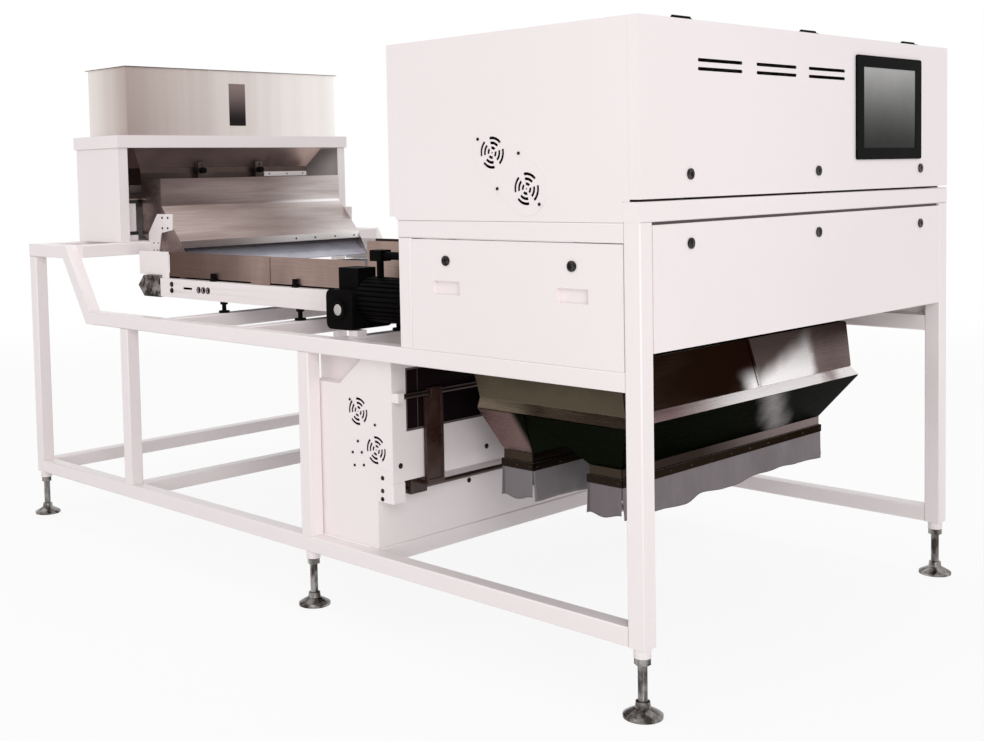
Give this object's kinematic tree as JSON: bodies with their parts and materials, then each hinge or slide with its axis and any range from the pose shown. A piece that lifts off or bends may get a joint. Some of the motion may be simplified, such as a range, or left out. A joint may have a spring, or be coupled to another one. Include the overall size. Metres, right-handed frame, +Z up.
{
  "type": "optical colour sorter",
  "caption": "Belt-fed optical colour sorter: welded tube frame, feed hopper and vibrating tray, conveyor, sorting head with flip-up door, and a discharge hopper.",
  "frame": {"origin": "on the floor, under the middle of the frame's outer box", "axes": "+Z up, +Y from the screen's side back to the feed hopper, +X to the right seen from the screen"},
  "size_m": [1.7, 3.075, 1.8066],
  "materials": {
    "white_paint": "smooth powder coat, faintly warm white",
    "grey_paint": "smooth paint",
    "black_paint": "semi-gloss paint",
    "dark_metal": "matte black anodised housing",
    "stainless": "brushed sheet",
    "zinc_steel": "turned and plated",
    "lock_chrome": "dulled plating",
    "aluminium": "extruded",
    "black_plastic": "matte",
    "wiper_plastic": "matte, dark brown",
    "lamp_diffuser": "opal",
    "display": "glossy, switched off",
    "belt_rubber": "smooth, slightly glossy blue-grey",
    "mount_rubber": "matte",
    "skirt_fabric": "grey woven cloth, light at the rear outlet",
    "dark_glass": "dark tinted glass"
  },
  "bodies": {
    "machine": {"frame_left_side": "white_paint", "frame_right_side": "white_paint", "frame_cross_members": "white_paint", "head_side_panels": "white_paint", "head_top_panel": "white_paint", "head_rear_panel": "white_paint", "head_floor": "white_paint", "glass_windows": "dark_glass", "fan_frames": "black_plastic", "door_hinges": "black_plastic", "right_side_panel": "white_paint", "cameras": "dark_metal", "light_bars": "lamp_diffuser", "control_box": "grey_paint", "conveyor_rails": "white_paint", "belt_bed_and_skirts": "stainless", "belt": "belt_rubber", "roller_bearings": "black_plastic", "clamp_knobs": "black_plastic", "gear_motor": "black_paint", "hopper": "stainless", "feeder_housing": "white_paint", "feeder_cap": "white_paint", "feed_chute": "stainless", "vibrator_mounts": "mount_rubber", "lower_box": "white_paint", "lower_box_front": "white_paint", "wiper_rods": "zinc_steel", "discharge_hopper": "stainless", "outlet_skirts": "skirt_fabric", "ejector_bar": "aluminium"},
    "foot_front_left": {"foot_front_left": "zinc_steel"},
    "foot_front_right": {"foot_front_right": "zinc_steel"},
    "foot_mid_left": {"foot_mid_left": "zinc_steel"},
    "foot_mid_right": {"foot_mid_right": "zinc_steel"},
    "foot_rear_left": {"foot_rear_left": "zinc_steel"},
    "foot_rear_right": {"foot_rear_right": "zinc_steel"},
    "head_fan_rotor_upper": {"head_fan_rotor_upper": "black_plastic"},
    "head_fan_rotor_lower": {"head_fan_rotor_lower": "black_plastic"},
    "box_fan_rotor_upper": {"box_fan_rotor_upper": "black_plastic"},
    "box_fan_rotor_lower": {"box_fan_rotor_lower": "black_plastic"},
    "door": {"door": "white_paint", "door_hinge_leaves": "black_plastic", "screen_bezel": "black_plastic", "screen_display": "display"},
    "front_panel": {"front_panel": "white_paint"},
    "left_side_panel": {"left_side_panel": "white_paint"},
    "door_lock_left": {"door_lock_left": "lock_chrome"},
    "panel_lock_left": {"panel_lock_left": "lock_chrome"},
    "door_lock_middle": {"door_lock_middle": "lock_chrome"},
    "panel_lock_middle": {"panel_lock_middle": "lock_chrome"},
    "door_lock_right": {"door_lock_right": "lock_chrome"},
    "panel_lock_right": {"panel_lock_right": "lock_chrome"},
    "side_lock_front": {"side_lock_front": "lock_chrome"},
    "side_lock_rear": {"side_lock_rear": "lock_chrome"},
    "drive_roller": {"drive_roller": "zinc_steel"},
    "tail_roller": {"tail_roller": "zinc_steel"},
    "feeder_tray": {"feeder_tray": "stainless"},
    "feed_gate": {"feed_gate": "stainless"},
    "wiper": {"wiper": "wiper_plastic"}
  },
  "joints": [
    {"name": "foot_front_left_screw", "type": "slide", "parent": "machine", "child": "foot_front_left", "axis": [0, 0, 1], "range_m": [-0.02, 0]},
    {"name": "foot_front_right_screw", "type": "slide", "parent": "machine", "child": "foot_front_right", "axis": [0, 0, 1], "range_m": [-0.02, 0]},
    {"name": "foot_mid_left_screw", "type": "slide", "parent": "machine", "child": "foot_mid_left", "axis": [0, 0, 1], "range_m": [-0.02, 0]},
    {"name": "foot_mid_right_screw", "type": "slide", "parent": "machine", "child": "foot_mid_right", "axis": [0, 0, 1], "range_m": [-0.02, 0]},
    {"name": "foot_rear_left_screw", "type": "slide", "parent": "machine", "child": "foot_rear_left", "axis": [0, 0, 1], "range_m": [-0.02, 0]},
    {"name": "foot_rear_right_screw", "type": "slide", "parent": "machine", "child": "foot_rear_right", "axis": [0, 0, 1], "range_m": [-0.02, 0]},
    {"name": "head_fan_upper_spin", "type": "hinge", "parent": "machine", "child": "head_fan_rotor_upper", "pos_m": [-0.815, -1.0405, 1.399], "axis": [1, 0, 0], "continuous": true},
    {"name": "head_fan_lower_spin", "type": "hinge", "parent": "machine", "child": "head_fan_rotor_lower", "pos_m": [-0.815, -1.1585, 1.303], "axis": [1, 0, 0], "continuous": true},
    {"name": "box_fan_upper_spin", "type": "hinge", "parent": "machine", "child": "box_fan_rotor_upper", "pos_m": [-0.763, -0.4205, 0.633], "axis": [1, 0, 0], "continuous": true},
    {"name": "box_fan_lower_spin", "type": "hinge", "parent": "machine", "child": "box_fan_rotor_lower", "pos_m": [-0.763, -0.4985, 0.524], "axis": [1, 0, 0], "continuous": true},
    {"name": "door_hinge", "type": "hinge", "parent": "machine", "child": "door", "pos_m": [0, -1.4825, 1.7203], "axis": [-1, 0, 0], "range_deg": [0, 85]},
    {"name": "front_panel_pull", "type": "slide", "parent": "machine", "child": "front_panel", "axis": [0, -1, 0], "range_m": [0, 0.15]},
    {"name": "left_side_panel_pull", "type": "slide", "parent": "machine", "child": "left_side_panel", "axis": [-1, 0, 0], "range_m": [0, 0.15]},
    {"name": "door_lock_left_turn", "type": "hinge", "parent": "door", "child": "door_lock_left", "pos_m": [-0.615, -1.5125, 1.3322], "axis": [0, 1, 0], "range_deg": [0, 90]},
    {"name": "panel_lock_left_turn", "type": "hinge", "parent": "front_panel", "child": "panel_lock_left", "pos_m": [-0.615, -1.5125, 1.1597], "axis": [0, -1, 0], "range_deg": [0, 90]},
    {"name": "door_lock_middle_turn", "type": "hinge", "parent": "door", "child": "door_lock_middle", "pos_m": [0.01, -1.5125, 1.3322], "axis": [0, 1, 0], "range_deg": [0, 90]},
    {"name": "panel_lock_middle_turn", "type": "hinge", "parent": "front_panel", "child": "panel_lock_middle", "pos_m": [0.01, -1.5125, 1.1597], "axis": [0, -1, 0], "range_deg": [0, 90]},
    {"name": "door_lock_right_turn", "type": "hinge", "parent": "door", "child": "door_lock_right", "pos_m": [0.635, -1.5125, 1.3322], "axis": [0, 1, 0], "range_deg": [0, 90]},
    {"name": "panel_lock_right_turn", "type": "hinge", "parent": "front_panel", "child": "panel_lock_right", "pos_m": [0.635, -1.5125, 1.1597], "axis": [0, -1, 0], "range_deg": [0, 90]},
    {"name": "side_lock_front_turn", "type": "hinge", "parent": "left_side_panel", "child": "side_lock_front", "pos_m": [-0.825, -1.3035, 1.108], "axis": [1, 0, 0], "range_deg": [0, 90]},
    {"name": "side_lock_rear_turn", "type": "hinge", "parent": "left_side_panel", "child": "side_lock_rear", "pos_m": [-0.825, -0.8605, 1.108], "axis": [1, 0, 0], "range_deg": [0, 90]},
    {"name": "drive_roller_spin", "type": "hinge", "parent": "machine", "child": "drive_roller", "pos_m": [0, -0.3125, 0.934], "axis": [1, 0, 0], "continuous": true},
    {"name": "tail_roller_spin", "type": "hinge", "parent": "machine", "child": "tail_roller", "pos_m": [0, 1.0535, 0.934], "axis": [1, 0, 0], "continuous": true},
    {"name": "tray_shake", "type": "slide", "parent": "machine", "child": "feeder_tray", "axis": [0, 1, 0], "range_m": [-0.002, 0.002], "stiffness_N_per_m": 20000},
    {"name": "feed_gate_slide", "type": "slide", "parent": "machine", "child": "feed_gate", "axis": [0, 0, 1], "range_m": [-0.022, 0]},
    {"name": "wiper_stroke", "type": "slide", "parent": "machine", "child": "wiper", "axis": [1, 0, 0], "range_m": [0, 1.2]}
  ],
  "couplings": [
    {"joint": "tail_roller_spin", "follows": "drive_roller_spin", "ratio": 1}
  ]
}
